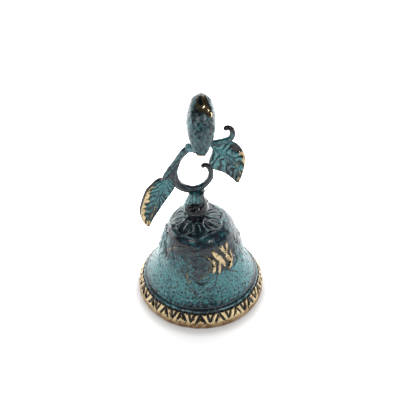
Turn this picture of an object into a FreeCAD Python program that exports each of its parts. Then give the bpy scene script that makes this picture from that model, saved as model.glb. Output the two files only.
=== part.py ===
"""Cast brass hand bell: a flared bell, a vine handle with two leaves and a perched bird, and a clapper.

Frame: millimetres, +Z up, origin at the centre of the rim's resting face.
The handle lies in the XZ plane, and the bird looks along +Y.
"""
import FreeCAD, Part
import math
import os
import Sketcher

SHEET_ROWS = [
    # bell casting, outside, from the rim up
    ("foot_radius", 32.9, "outer radius of the resting face"),
    ("rim_radius", 35.0, "largest radius of the bell"),
    ("rim_level", 2.6, "height of the largest radius"),
    ("lip_radius", 34.6, "top of the rounded lip"),
    ("lip_level", 5.0, "height of the lip's top"),
    ("band_radius", 32.4, "top of the sloping ornamental band"),
    ("band_level", 10.2, "height of the band's top"),
    ("skirt_radius", 26.7, "skirt, halfway up its flare"),
    ("skirt_level", 20.0, "height of that point"),
    ("waist_radius", 23.4, "where the flare runs into the straight waist"),
    ("waist_level", 30.0, "height of that point"),
    ("shoulder_radius", 19.3, "where the shoulder starts to turn in"),
    ("shoulder_level", 44.0, "height of that point"),
    ("turn_radius", 17.0, "middle of the shoulder's turn"),
    ("turn_level", 49.4, "height of that point"),
    ("crown_radius", 12.8, "outer edge of the crown"),
    ("crown_edge_level", 52.2, "height of the crown's edge"),
    ("crown_level", 53.5, "height of the flat seat in the middle of the crown"),
    ("seat_radius", 6.4, "radius of that seat"),
    ("wall", 2.2, "wall of the bell"),
    ("foot_inner_radius", 31.0, "inner radius of the resting face"),
    ("ceiling_level", 50.6, "flat underside of the crown"),
    ("ceiling_radius", 10.6, "radius of that underside"),
    # handle
    ("handle_offset", -2.4, "handle axis, a little to the left of the bell's axis"),
    ("bead_radius", 6.4, "largest radius of the bead"),
    ("bead_seat_radius", 4.6, "radius where the bead sits on the crown"),
    ("bead_height", 13.4, "round part of the bead"),
    ("calyx_radius", 5.9, "radius of the calyx's lip"),
    ("calyx_neck_radius", 5.2, "radius between bead and calyx"),
    ("calyx_height", 19.0, "top of the calyx above the crown"),
    ("loop_thickness", 3.8, "diameter of the loop's vine"),
    ("stem_thickness", 2.8, "diameter of the stem's vine"),
    ("leaf_thickness", 2.4, "thickness of a leaf's casting"),
    ("left_leaf_length", 34.8, "left leaf, base to tip"),
    ("right_leaf_length", 30.0, "right leaf, base to tip"),
    # bird
    ("bird_length", 28.0, "bird's body without head and tail feathers"),
    ("bird_width", 15.2, "widest part of the body"),
    ("bird_depth", 14.8, "back to breast"),
    ("head_radius", 6.3, "head"),
    ("head_reach", 11.0, "head's centre ahead of the body's centre"),
    ("beak_length", 5.0, "beak"),
    ("beak_radius", 1.7, "beak at its root"),
    ("tail_length", 8.0, "tail feathers, as far as they stand out of the body"),
    ("tail_width", 8.0, "tail feathers"),
    ("tail_thickness", 3.0, "tail feathers"),
    # fixing
    ("stud_diameter", 4.0, "threaded stud, at its thread's outside"),
    ("stud_hole_diameter", 4.3, "hole in the crown"),
    ("stud_embedment", 6.0, "length of stud inside the bead"),
    ("washer_diameter", 9.0, "washer"),
    ("washer_thickness", 0.8, "washer"),
    ("nut_flats", 7.0, "hexagon across its flats"),
    ("nut_height", 3.2, "nut"),
    ("eye_diameter", 6.0, "flattened lower end of the stud"),
    ("eye_thickness", 2.4, "flattened lower end of the stud"),
    # clapper
    ("hinge_drop", 9.6, "stud's eye below the ceiling"),
    ("link_wire", 1.6, "wire of the link"),
    ("link_width", 5.2, "link, between the middles of its two legs"),
    ("link_length", 8.0, "link, from its top bar down to the centre of its lower bend"),
    ("running_gap", 0.08, "clearance between a wire and the hole that it turns in"),
    ("rod_eye_radius", 1.6, "open radius of the rod's bent eye"),
    ("rod_wire", 2.0, "wire of the rod"),
    ("bob_radius", 7.5, "striking ball"),
    ("bob_drop", 20.0, "ball's centre below the centre of the link's lower bend"),
    ("rivet_length", 0.8, "rod's end standing out below the ball"),
]

# The vines' routes in the XZ plane: straight runs joined by arcs, each corner as (x, z, arc radius).
LOOP_ROUTE = [
    (-10.6, 97.5, 0.0),
    (-15.6, 79.6, 8.0),
    (-9.8, 73.4, 5.5),
    (1.6, 73.4, 7.5),
    (6.8, 84.8, 7.0),
    (4.2, 91.4, 2.1),
    (1.4, 89.2, 0.0),
]
STEM_ROUTE = [
    (-22.0, 79.1, 0.0),
    (-7.0, 103.4, 9.0),
    (11.6, 107.2, 9.0),
    (18.3, 112.2, 3.0),
    (13.8, 118.2, 2.6),
    (11.7, 114.6, 0.0),
]

# Leaf outlines in shares of the leaf's length: how far along, how far across, and what the point is.
LEFT_LEAF_OUTLINE = [
    (0.00, -0.10, "corner"),
    (0.20, -0.215, "through"),
    (0.52, -0.245, "corner"),
    (0.83, -0.17, "through"),
    (1.00, -0.02, "corner"),
    (0.99, 0.03, "corner"),
    (0.53, 0.10, "through"),
    (0.07, 0.13, "corner"),
]
RIGHT_LEAF_OUTLINE = [
    (0.00, 0.02, "corner"),
    (0.13, 0.36, "corner"),
    (0.45, 0.39, "through"),
    (0.76, 0.22, "corner"),
    (1.00, 0.04, "corner"),
    (0.97, -0.03, "corner"),
    (0.72, -0.13, "through"),
    (0.54, -0.30, "corner"),
    (0.22, -0.17, "through"),
]
LEFT_LEAF_BASE = (-17.5, 79.5)
LEFT_LEAF_SLOPE = 250.7
RIGHT_LEAF_BASE = (6.5, 105.8)
RIGHT_LEAF_SLOPE = -63.2

BIRD_PLACE = (0.1, 1.2, 115.6)
BIRD_PITCH = 45.0
BEAK_DROOP = 65.0

PLANE_ROLES = {"XY": "XY_Plane", "XZ": "XZ_Plane", "YZ": "YZ_Plane"}
ALONG_Y = ((1, 0, 0), 90)

document = FreeCAD.newDocument("hand_bell")
sheet = document.addObject("Spreadsheet::Sheet", "dim")
sub_parts = []


def fill_sheet():
    """Writes each driving dimension with its alias and its meaning."""
    for row, (alias, value, meaning) in enumerate(SHEET_ROWS, start=1):
        sheet.set("A%d" % row, alias)
        sheet.set("B%d" % row, str(value))
        sheet.setAlias("B%d" % row, alias)
        sheet.set("C%d" % row, meaning)
    document.recompute()


def value_of(expression):
    """The number that an expression in the sheet's dimensions gives."""
    return float(sheet.evalExpression(str(expression)))


def bind(target, name, expression):
    """Ties a property to an expression in the sheet's dimensions."""
    target.setExpression(name, str(expression))


def place(target, x=0, y=0, z=0, turn=((0, 0, 1), 0)):
    """Puts an object at a place given by expressions, turned by (axis, degrees)."""
    axis, degrees = turn
    target.Placement = FreeCAD.Placement(FreeCAD.Vector(), FreeCAD.Rotation(FreeCAD.Vector(*axis), degrees))
    bind(target, "Placement.Base.x", x)
    bind(target, "Placement.Base.y", y)
    bind(target, "Placement.Base.z", z)


def new_body(label):
    """A PartDesign body that stands for one sub-part."""
    body = document.addObject("PartDesign::Body", label + "_body")
    body.Label = label
    sub_parts.append(body)
    return body


def origin_feature(body, role):
    """The plane or axis of a body's own origin that has this role."""
    return next(feature for feature in body.Origin.OriginFeatures if feature.Role == role)


def new_sketch(body, name, plane):
    """A sketch on one of the body's own origin planes."""
    sketch = body.newObject("Sketcher::SketchObject", name)
    sketch.AttachmentSupport = [(origin_feature(body, PLANE_ROLES[plane]), "")]
    sketch.MapMode = "FlatFace"
    document.recompute()
    return sketch


def near_end(sketch, edge, point):
    """Which end of a sketch edge (1 start, 2 end) lies at a point."""
    start = sketch.getPoint(edge, 1)
    end = sketch.getPoint(edge, 2)
    return 1 if start.distanceToPoint(point) <= end.distanceToPoint(point) else 2


def pin_point(sketch, geometry, end, expressions):
    """Ties a point's two coordinates to expressions."""
    for kind, expression in zip(("DistanceX", "DistanceY"), expressions):
        value = value_of(expression)
        index = sketch.addConstraint(Sketcher.Constraint(kind, -1, 1, geometry, end, value))
        bind(sketch, "Constraints[%d]" % index, expression)


def draw_outline(sketch, points):
    """Closed outline through corners, each (x, y, "corner") with x and y as expressions.

    A "through" point between two corners makes the edge between them an arc.
    """
    located = [(FreeCAD.Vector(value_of(x), value_of(y), 0), (x, y), kind) for x, y, kind in points]
    corners = [index for index, point in enumerate(located) if point[2] == "corner"]
    edges = []
    for index, following in zip(corners, corners[1:] + corners[:1]):
        start = located[index][0]
        end = located[following][0]
        between = located[(index + 1) % len(located)]
        if between[2] == "through":
            edge = sketch.addGeometry(Part.Arc(start, between[0], end), False)
            marker = sketch.addGeometry(Part.Point(between[0]), True)
            pin_point(sketch, marker, 1, between[1])
            sketch.addConstraint(Sketcher.Constraint("PointOnObject", marker, 1, edge))
        else:
            edge = sketch.addGeometry(Part.LineSegment(start, end), False)
        pin_point(sketch, edge, near_end(sketch, edge, start), located[index][1])
        edges.append((edge, end))
    for (edge, end), (next_edge, _) in zip(edges, edges[1:] + edges[:1]):
        ends = (edge, near_end(sketch, edge, end), next_edge, near_end(sketch, next_edge, end))
        sketch.addConstraint(Sketcher.Constraint("Coincident", *ends))
    document.recompute()


def draw_circle(sketch, radius):
    """Circle round the sketch's origin whose radius is an expression."""
    circle = sketch.addGeometry(Part.Circle(FreeCAD.Vector(), FreeCAD.Vector(0, 0, 1), value_of(radius)), False)
    sketch.addConstraint(Sketcher.Constraint("Coincident", circle, 3, -1, 1))
    index = sketch.addConstraint(Sketcher.Constraint("Radius", circle, value_of(radius)))
    bind(sketch, "Constraints[%d]" % index, radius)
    document.recompute()


def draw_route(sketch, route):
    """Straight runs joined by tangent arcs; each corner is (x, y, arc radius)."""
    corners = [FreeCAD.Vector(x, y, 0) for x, y, _ in route]
    here = corners[0]
    for before, corner, after, (_, _, radius) in zip(corners, corners[1:], corners[2:], route[1:]):
        back = (before - corner).normalize()
        ahead = (after - corner).normalize()
        half_angle = back.getAngle(ahead) / 2
        reach = radius / math.tan(half_angle)
        bisector = (back + ahead).normalize()
        arc_middle = corner + bisector * (radius / math.sin(half_angle) - radius)
        arc_start = corner + back * reach
        arc_end = corner + ahead * reach
        sketch.addGeometry(Part.LineSegment(here, arc_start), False)
        sketch.addGeometry(Part.Arc(arc_start, arc_middle, arc_end), False)
        here = arc_end
    if here.distanceToPoint(corners[-1]) > 1e-6:
        sketch.addGeometry(Part.LineSegment(here, corners[-1]), False)
    document.recompute()


def revolve(body, name, plane, points, axis_role):
    """A solid of revolution from an outline."""
    sketch = new_sketch(body, name + "_profile", plane)
    draw_outline(sketch, points)
    solid = body.newObject("PartDesign::Revolution", name)
    solid.Profile = sketch
    solid.ReferenceAxis = (origin_feature(body, axis_role), [""])
    solid.Angle = 360
    document.recompute()
    return solid


def pad_symmetric(body, name, sketch, thickness):
    """A plate that stands out equally on both sides of its sketch."""
    plate = body.newObject("PartDesign::Pad", name)
    plate.Profile = sketch
    plate.Midplane = True
    bind(plate, "Length", thickness)
    document.recompute()
    return plate


def sweep(body, name, route_sketch, radius, support):
    """A round wire or vine along a route; support is the route's first edge."""
    section = body.newObject("Sketcher::SketchObject", name + "_section")
    section.AttachmentSupport = [(route_sketch, support)]
    section.MapMode = "NormalToEdge"
    section.MapPathParameter = 0.0
    document.recompute()
    draw_circle(section, radius)
    pipe = body.newObject("PartDesign::AdditivePipe", name)
    pipe.Profile = section
    pipe.Spine = (route_sketch, [])
    document.recompute()
    return pipe


def primitive(body, kind, name, sizes, **placing):
    """A PartDesign primitive with its sizes bound to expressions."""
    solid = body.newObject("PartDesign::" + kind, name)
    for property_name, expression in sizes.items():
        bind(solid, property_name, expression)
    place(solid, **placing)
    document.recompute()
    return solid


def build_bell_shell():
    """The bell: a turned casting with a hole for the handle's stud."""
    body = new_body("bell_shell")
    profile = [
        ("dim.foot_inner_radius", 0, "corner"),
        ("dim.foot_radius", 0, "corner"),
        ("dim.rim_radius", "dim.rim_level", "through"),
        ("dim.lip_radius", "dim.lip_level", "corner"),
        ("dim.band_radius", "dim.band_level", "corner"),
        ("dim.skirt_radius", "dim.skirt_level", "through"),
        ("dim.waist_radius", "dim.waist_level", "corner"),
        ("dim.shoulder_radius", "dim.shoulder_level", "corner"),
        ("dim.turn_radius", "dim.turn_level", "through"),
        ("dim.crown_radius", "dim.crown_edge_level", "corner"),
        ("dim.seat_radius", "dim.crown_level", "corner"),
        (0, "dim.crown_level", "corner"),
        (0, "dim.ceiling_level", "corner"),
        ("dim.ceiling_radius", "dim.ceiling_level", "corner"),
        ("dim.turn_radius - dim.wall", "dim.turn_level - dim.wall", "through"),
        ("dim.shoulder_radius - dim.wall", "dim.shoulder_level - dim.wall / 2", "corner"),
        ("dim.waist_radius - dim.wall", "dim.waist_level", "corner"),
        ("dim.skirt_radius - dim.wall", "dim.skirt_level", "through"),
        ("dim.band_radius - 1.2 * dim.wall", "dim.band_level", "corner"),
    ]
    revolve(body, "casting", "XZ", profile, "Z_Axis")
    primitive(body, "SubtractiveCylinder", "stud_hole",
              {"Radius": "dim.stud_hole_diameter / 2", "Height": "dim.crown_level"},
              x="dim.handle_offset", z="dim.ceiling_level - 1")


def build_neck_bead():
    """The knob on the crown, drawn in to a neck and flared into a calyx under the loop."""
    body = new_body("neck_bead")
    profile = [
        (0, 0, "corner"),
        ("dim.bead_seat_radius", 0, "corner"),
        ("dim.bead_radius", "dim.bead_height / 2", "through"),
        ("dim.calyx_neck_radius", "dim.bead_height", "corner"),
        ("dim.calyx_radius", "dim.calyx_height - 2.5", "corner"),
        ("dim.calyx_radius - 1", "dim.calyx_height", "corner"),
        (0, "dim.calyx_height", "corner"),
    ]
    revolve(body, "knob", "XZ", profile, "Z_Axis")
    primitive(body, "SubtractiveCylinder", "stud_socket",
              {"Radius": "dim.stud_diameter / 2", "Height": "dim.stud_embedment"})
    place(body, x="dim.handle_offset", z="dim.crown_level")


def build_vine(label, route, diameter):
    """A vine along its route with a rounded tip."""
    body = new_body(label)
    route_sketch = new_sketch(body, label + "_route", "XZ")
    draw_route(route_sketch, route)
    sweep(body, label + "_tube", route_sketch, diameter + " / 2", "Edge1")
    tip_x, tip_z, _ = route[-1]
    primitive(body, "AdditiveSphere", label + "_tip", {"Radius": diameter + " / 2"}, x=tip_x, z=tip_z)


def build_leaf(label, outline, length, base, slope):
    """A flat leaf casting; its outline is in shares of its length."""
    body = new_body(label)
    sketch = new_sketch(body, label + "_outline", "XZ")
    draw_outline(sketch, [("%s * %s" % (length, along), "%s * %s" % (length, across), kind)
                          for along, across, kind in outline])
    pad_symmetric(body, label + "_plate", sketch, "dim.leaf_thickness")
    place(body, x=base[0], z=base[1], turn=((0, -1, 0), slope))


def build_bird():
    """A small bird: body, head, beak and a wedge of tail feathers, pitched up along the stem."""
    body = new_body("bird")
    primitive(body, "AdditiveEllipsoid", "torso",
              {"Radius1": "dim.bird_depth / 2", "Radius2": "dim.bird_length / 2", "Radius3": "dim.bird_width / 2"})
    primitive(body, "AdditiveSphere", "head", {"Radius": "dim.head_radius"}, x="dim.head_reach")
    root_reach = "(dim.head_radius - 1)"
    primitive(body, "AdditiveCone", "beak",
              {"Radius1": "dim.beak_radius", "Radius2": "dim.beak_radius / 4", "Height": "dim.beak_length"},
              x="dim.head_reach + %s * cos(%s deg)" % (root_reach, BEAK_DROOP),
              z="-%s * sin(%s deg)" % (root_reach, BEAK_DROOP), turn=((0, 1, 0), 90 + BEAK_DROOP))
    primitive(body, "AdditiveBox", "tail",
              {"Length": "dim.tail_length", "Width": "dim.tail_width", "Height": "dim.tail_thickness"},
              x="-dim.bird_length / 2 - 1.5", y="-dim.tail_width / 2", z="-dim.tail_thickness / 2")
    place(body, *BIRD_PLACE)
    heading = FreeCAD.Rotation(FreeCAD.Vector(0, 0, 1), 90)
    pitch = FreeCAD.Rotation(FreeCAD.Vector(0, -1, 0), BIRD_PITCH)
    body.Placement.Rotation = heading.multiply(pitch)


def build_stud():
    """Threaded stud, flattened and drilled at its lower end for the link's top bar."""
    body = new_body("handle_stud")
    eye = new_sketch(body, "eye_outline", "XZ")
    draw_circle(eye, "dim.eye_diameter / 2")
    pad_symmetric(body, "eye", eye, "dim.eye_thickness")
    rise = "dim.eye_diameter / 4"
    length = "dim.hinge_drop + dim.crown_level - dim.ceiling_level + dim.stud_embedment"
    primitive(body, "AdditiveCylinder", "shank",
              {"Radius": "dim.stud_diameter / 2", "Height": length + " - " + rise}, z=rise)
    primitive(body, "SubtractiveCylinder", "eye_hole",
              {"Radius": "dim.link_wire / 2 + dim.running_gap", "Height": "dim.eye_thickness * 2"},
              y="dim.eye_thickness", turn=ALONG_Y)
    place(body, x="dim.handle_offset", z="dim.ceiling_level - dim.hinge_drop")


def build_washer():
    """Plain washer under the crown."""
    body = new_body("washer")
    primitive(body, "AdditiveCylinder", "disc",
              {"Radius": "dim.washer_diameter / 2", "Height": "dim.washer_thickness"})
    primitive(body, "SubtractiveCylinder", "washer_hole",
              {"Radius": "dim.stud_hole_diameter / 2", "Height": "dim.washer_thickness"})
    place(body, x="dim.handle_offset", z="dim.ceiling_level - dim.washer_thickness")


def build_nut():
    """Hexagon nut on the stud."""
    body = new_body("hex_nut")
    hexagon = primitive(body, "AdditivePrism", "hexagon",
                        {"Circumradius": "dim.nut_flats / sqrt(3)", "Height": "dim.nut_height"})
    hexagon.Polygon = 6
    primitive(body, "SubtractiveCylinder", "thread", {"Radius": "dim.stud_diameter / 2", "Height": "dim.nut_height"})
    place(body, x="dim.handle_offset", z="dim.ceiling_level - dim.washer_thickness - dim.nut_height")


def build_link():
    """Bent-wire link: straight top bar, two legs and a round lower bend, all in the YZ plane."""
    body = new_body("clapper_link")
    half_width = value_of("dim.link_width / 2")
    length = value_of("dim.link_length")
    corner_radius = half_width * 0.45
    bend_floor = -length - half_width
    route = [
        (0, 0, 0),
        (half_width, 0, corner_radius),
        (half_width, bend_floor, half_width),
        (-half_width, bend_floor, half_width),
        (-half_width, 0, corner_radius),
        (0, 0, 0),
    ]
    route_sketch = new_sketch(body, "link_route", "YZ")
    draw_route(route_sketch, route)
    sweep(body, "link_wire", route_sketch, "dim.link_wire / 2", "Edge1")
    place(body, x="dim.handle_offset", z="dim.ceiling_level - dim.hinge_drop")


def build_rod():
    """Clapper rod: a bent eye round the link's lower bend, and a straight wire riveted through the ball."""
    body = new_body("clapper_rod")
    bend_floor = "(-dim.link_width / 2)"
    ring_radius = "(dim.rod_eye_radius + dim.rod_wire / 2)"
    ring_centre = "(%s + dim.link_wire / 2 + dim.running_gap - dim.rod_eye_radius)" % bend_floor
    primitive(body, "AdditiveTorus", "rod_eye",
              {"Radius1": ring_radius, "Radius2": "dim.rod_wire / 2"}, z=ring_centre, turn=ALONG_Y)
    top = "(%s - %s)" % (ring_centre, ring_radius)
    bottom = "(-dim.bob_drop - dim.bob_radius - dim.rivet_length)"
    primitive(body, "AdditiveCylinder", "rod_wire",
              {"Radius": "dim.rod_wire / 2", "Height": "%s - %s" % (top, bottom)}, z=bottom)
    place(body, x="dim.handle_offset", z="dim.ceiling_level - dim.hinge_drop - dim.link_length")


def build_bob():
    """Striking ball, drilled for the rod."""
    body = new_body("clapper_bob")
    primitive(body, "AdditiveSphere", "ball", {"Radius": "dim.bob_radius"})
    primitive(body, "SubtractiveCylinder", "rod_hole",
              {"Radius": "dim.rod_wire / 2 - 0.02", "Height": "dim.bob_radius * 2"}, z="-dim.bob_radius")
    place(body, x="dim.handle_offset",
          z="dim.ceiling_level - dim.hinge_drop - dim.link_length - dim.bob_drop")


def check_and_export():
    """Stops on any failed object or bad shape, then writes one STEP file for each sub-part."""
    document.recompute()
    for item in document.Objects:
        if "Invalid" in item.State or "Error" in item.State:
            raise RuntimeError("%s (%s) failed: %s" % (item.Label, item.Name, item.State))
    for body in sub_parts:
        if body.Shape.isNull() or not body.Shape.isValid() or len(body.Shape.Solids) != 1:
            raise RuntimeError("%s has no single valid solid" % body.Label)
    os.makedirs("parts", exist_ok=True)
    for body in sub_parts:
        body.Shape.exportStep("parts/%s.step" % body.Label)
        box = body.Shape.BoundBox
        print("%-14s %9.2f mm3  x %6.2f %6.2f  y %6.2f %6.2f  z %6.2f %6.2f" % (
            body.Label, body.Shape.Volume, box.XMin, box.XMax, box.YMin, box.YMax, box.ZMin, box.ZMax))


fill_sheet()
build_bell_shell()
build_neck_bead()
build_vine("vine_loop", LOOP_ROUTE, "dim.loop_thickness")
build_vine("vine_stem", STEM_ROUTE, "dim.stem_thickness")
build_leaf("left_leaf", LEFT_LEAF_OUTLINE, "dim.left_leaf_length", LEFT_LEAF_BASE, LEFT_LEAF_SLOPE)
build_leaf("right_leaf", RIGHT_LEAF_OUTLINE, "dim.right_leaf_length", RIGHT_LEAF_BASE, RIGHT_LEAF_SLOPE)
build_bird()
build_stud()
build_washer()
build_nut()
build_link()
build_rod()
build_bob()
check_and_export()
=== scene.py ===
"""Looks of the brass puja bell: a cast hand bell with a verdigris patina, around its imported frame."""

import functools
import math

import bpy
import numpy as np
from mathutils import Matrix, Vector


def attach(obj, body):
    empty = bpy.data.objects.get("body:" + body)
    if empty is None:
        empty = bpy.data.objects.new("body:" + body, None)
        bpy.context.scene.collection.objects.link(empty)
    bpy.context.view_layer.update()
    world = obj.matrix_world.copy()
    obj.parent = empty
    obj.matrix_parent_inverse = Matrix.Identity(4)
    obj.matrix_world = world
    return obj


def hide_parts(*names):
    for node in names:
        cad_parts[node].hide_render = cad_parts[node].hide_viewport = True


MM = 0.001

# The handle, its fixing and the clapper share an axis a little left of the bell's own.
HANDLE_X = -2.4


# ---- shapes


def ramp(low, high, value):
    """0 below low, 1 above high, and a smooth rise between."""
    share = np.clip((value - low) / (high - low), 0, 1)
    return share * share * (3 - 2 * share)


def fall(low, high, value):
    """1 below low, 0 above high, and a smooth fall between."""
    return 1 - ramp(low, high, value)


def bump(distance, width):
    """1 where distance is 0, falling smoothly to 0 at width."""
    return fall(0, width, distance)


def near(value, middle, width):
    """1 where value is middle, falling smoothly to 0 at width on either side."""
    return bump(np.abs(value - middle), width)


def most(*values):
    """The greatest of several arrays or numbers, point by point."""
    return functools.reduce(np.maximum, values)


def noise(points, size, seed):
    """Smooth noise from -1 to 1 at points in mm, with lumps about size mm across."""
    cells = 24
    table = np.random.default_rng(seed).uniform(-1, 1, (cells, cells, cells))
    scaled = np.asarray(points) / size
    corner = np.floor(scaled).astype(int)
    part = scaled - corner
    part = part * part * (3 - 2 * part)
    total = np.zeros(scaled.shape[:-1])
    for step in np.ndindex(2, 2, 2):
        weight = np.prod(np.where(step, part, 1 - part), axis=-1)
        i, j, k = np.moveaxis((corner + step) % cells, -1, 0)
        total += weight * table[i, j, k]
    return total


def line(start, end, count=60):
    return np.linspace(start, end, count)


def arc(start, middle, end, count=60):
    """Points of the arc through three points in a plane."""
    (ax, ay), (bx, by), (cx, cy) = start, middle, end
    twice_area = 2 * (ax * (by - cy) + bx * (cy - ay) + cx * (ay - by))
    squares = ax * ax + ay * ay, bx * bx + by * by, cx * cx + cy * cy
    x = (squares[0] * (by - cy) + squares[1] * (cy - ay) + squares[2] * (ay - by)) / twice_area
    y = (squares[0] * (cx - bx) + squares[1] * (ax - cx) + squares[2] * (bx - ax)) / twice_area
    turns = np.unwrap([math.atan2(py - y, px - x) for px, py in (start, middle, end)])
    angles = np.linspace(turns[0], turns[2], count)
    radius = math.hypot(ax - x, ay - y)
    return np.stack([x + radius * np.cos(angles), y + radius * np.sin(angles)], axis=-1)


def stacked(*values):
    """Arrays or numbers side by side along a last axis, each spread over the shape of them all."""
    return np.stack(np.broadcast_arrays(*values), axis=-1)


def full_turn(count):
    """Angles evenly round a circle, in radians."""
    return np.linspace(0, 2 * math.pi, count, endpoint=False)


def turned(angle, start):
    """The turn in degrees from start to angle, the short way round."""
    return (angle - start + 180) % 360 - 180


def run_length(points):
    """Distance along the points, from the first."""
    steps = np.linalg.norm(np.diff(points, axis=0), axis=1)
    return np.concatenate([[0], np.cumsum(steps)])


def even_points(points, spacing):
    """The same path with points about spacing apart."""
    run = run_length(points)
    wanted = np.linspace(0, run[-1], max(2, round(run[-1] / spacing) + 1))
    return np.stack([np.interp(wanted, run, column) for column in np.transpose(points)], axis=-1)


def joined(*runs):
    """One path from several, without the points where they meet twice."""
    return np.concatenate([runs[0]] + [run[1:] for run in runs[1:]])


def smooth_curve(points, shares):
    """Catmull-Rom curve through points, read at shares from 0 to 1 of its length."""
    knots = np.asarray(points, float)
    first = 2 * knots[0] - knots[1]
    last = 2 * knots[-1] - knots[-2]
    padded = np.concatenate([[first], knots, [last]])
    dense = []
    for p0, p1, p2, p3 in zip(padded, padded[1:], padded[2:], padded[3:]):
        t = np.linspace(0, 1, 24, endpoint=False)[:, None]
        dense.append(
            p1
            + 0.5 * t * (p2 - p0)
            + t**2 * (p0 - 2.5 * p1 + 2 * p2 - 0.5 * p3)
            + t**3 * (1.5 * (p1 - p2) + 0.5 * (p3 - p0))
        )
    dense = np.concatenate(dense + [knots[-1:]])
    run = run_length(dense)
    return np.stack([np.interp(np.asarray(shares) * run[-1], run, c) for c in dense.T], axis=-1)


def distance_to_path(u, v, path):
    """Distance from each (u, v) to a path of straight runs, and how far along it the nearest point is."""
    best = np.full(np.shape(u), np.inf)
    along = np.zeros(np.shape(u))
    run = run_length(np.asarray(path, float))
    for index, ((ua, va), (ub, vb)) in enumerate(zip(path, path[1:])):
        du, dv = ub - ua, vb - va
        share = np.clip(((u - ua) * du + (v - va) * dv) / (du * du + dv * dv), 0, 1)
        distance = np.hypot(u - ua - share * du, v - va - share * dv)
        nearer = distance < best
        best = np.where(nearer, distance, best)
        along = np.where(nearer, (run[index] + share * (run[index + 1] - run[index])) / run[-1], along)
    return best, along


# ---- meshes


def faces_between(first, second):
    """Faces that join two closed rings of vertex numbers. One may have several times the other's count."""
    few, many = len(first), len(second)
    if few == many:
        return [np.stack([first, np.roll(first, -1), np.roll(second, -1), second], axis=-1)]
    if few > many:
        return [face[:, ::-1] for face in faces_between(second, first)]
    ratio = many // few
    fans = np.stack([np.repeat(first, ratio), np.roll(second, -1), second], axis=-1)
    if few == 1:
        return [fans]
    bridges = np.stack([first, np.roll(first, -1), np.roll(second[::ratio], -1)], axis=-1)
    return [fans, bridges]


def skin(rings, marks):
    """Points, faces and marks of a surface through rings of points. A ring of one point closes an end."""
    starts = np.cumsum([0] + [len(ring) for ring in rings])
    numbers = [np.arange(start, end) for start, end in zip(starts, starts[1:])]
    faces = []
    for first, second in zip(numbers, numbers[1:]):
        faces += faces_between(first, second)
    return np.concatenate(rings), faces, np.concatenate(marks)


def closed_skin(rings, marks):
    """A surface through rings of points, with both of its ends closed."""
    rings = [rings[0].mean(axis=0)[None]] + list(rings) + [rings[-1].mean(axis=0)[None]]
    marks = [marks[0][:1]] + list(marks) + [marks[-1][:1]]
    return skin(rings, marks)


def merged(*skins):
    """Several closed surfaces as one."""
    points, faces, marks = [], [], []
    count = 0
    for some_points, some_faces, some_marks in skins:
        points.append(some_points)
        faces += [face + count for face in some_faces]
        marks.append(some_marks)
        count += len(some_points)
    return np.concatenate(points), faces, np.concatenate(marks)


def make_piece(name, surface, material, node, body="root"):
    """A mesh object from a skin, in metres, that stands for a CAD node and moves with its body."""
    points, faces, marks = surface
    corners = np.concatenate([face.ravel() for face in faces])
    sizes = np.concatenate([np.full(len(face), face.shape[1]) for face in faces])
    mesh = bpy.data.meshes.new(name)
    mesh.vertices.add(len(points))
    mesh.vertices.foreach_set("co", (points * MM).ravel())
    mesh.loops.add(len(corners))
    mesh.loops.foreach_set("vertex_index", corners)
    mesh.polygons.add(len(sizes))
    mesh.polygons.foreach_set("loop_start", np.cumsum(sizes) - sizes)
    mesh.polygons.foreach_set("use_smooth", np.ones(len(sizes), bool))
    mesh.update(calc_edges=True)
    # Each point's marks: shade, gold, pale and green. Shade and pale carry painted shade and painted
    # reflections as well as the patina.
    finish_and_painted_light = mesh.attributes.new("finish_and_painted_light", "FLOAT_COLOR", "POINT")
    finish_and_painted_light.data.foreach_set("color", np.clip(marks, 0, 1).ravel())
    mesh.validate()
    mesh.materials.append(material)
    piece = bpy.data.objects.new(name, mesh)
    bpy.context.scene.collection.objects.link(piece)
    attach(piece, body)
    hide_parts(node)


def hollows(height, rows, columns):
    """How far each point of a relief lies below the average of what is around it."""
    around = np.pad(height, ((rows, rows), (0, 0)), mode="edge")
    window = 2 * rows + 1
    sums = np.cumsum(np.pad(around, ((1, 0), (0, 0))), axis=0)
    around = (sums[window:] - sums[:-window]) / window
    around = np.mean([np.roll(around, shift, axis=1) for shift in range(-columns, columns + 1)], axis=0)
    return around - height


# ---- bell shell

BELL_OUTSIDE = joined(
    arc((32.9, 0.0), (35.0, 2.6), (34.6, 5.0)),
    line((34.6, 5.0), (32.4, 10.2)),
    arc((32.4, 10.2), (26.7, 20.0), (23.4, 30.0)),
    line((23.4, 30.0), (19.3, 44.0)),
    arc((19.3, 44.0), (17.0, 49.4), (12.8, 52.2)),
    line((12.8, 52.2), (6.4, 53.5)),
    line((6.4, 53.5), (0.3, 53.5)),
)
BELL_INSIDE = joined(
    line((0.4, 50.6), (10.6, 50.6)),
    arc((10.6, 50.6), (14.8, 47.2), (17.1, 42.9)),
    line((17.1, 42.9), (21.2, 30.0)),
    arc((21.2, 30.0), (24.5, 20.0), (29.76, 10.2)),
    line((29.76, 10.2), (31.0, 0.0)),
)
BAND_TOP = 12.9
# Each row of pits: its height, how many pits it has, and their half width.
PIT_ROWS = (
    (14.3, 52, 0.65),
    (16.2, 48, 0.75),
    (18.4, 44, 0.80),
    (20.8, 40, 0.75),
    (23.4, 34, 0.65),
    (26.2, 26, 0.55),
)
# How much gold each third of the garland shows.
GARLAND_WEAR = (1.0, 0.8, 0.0)


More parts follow.
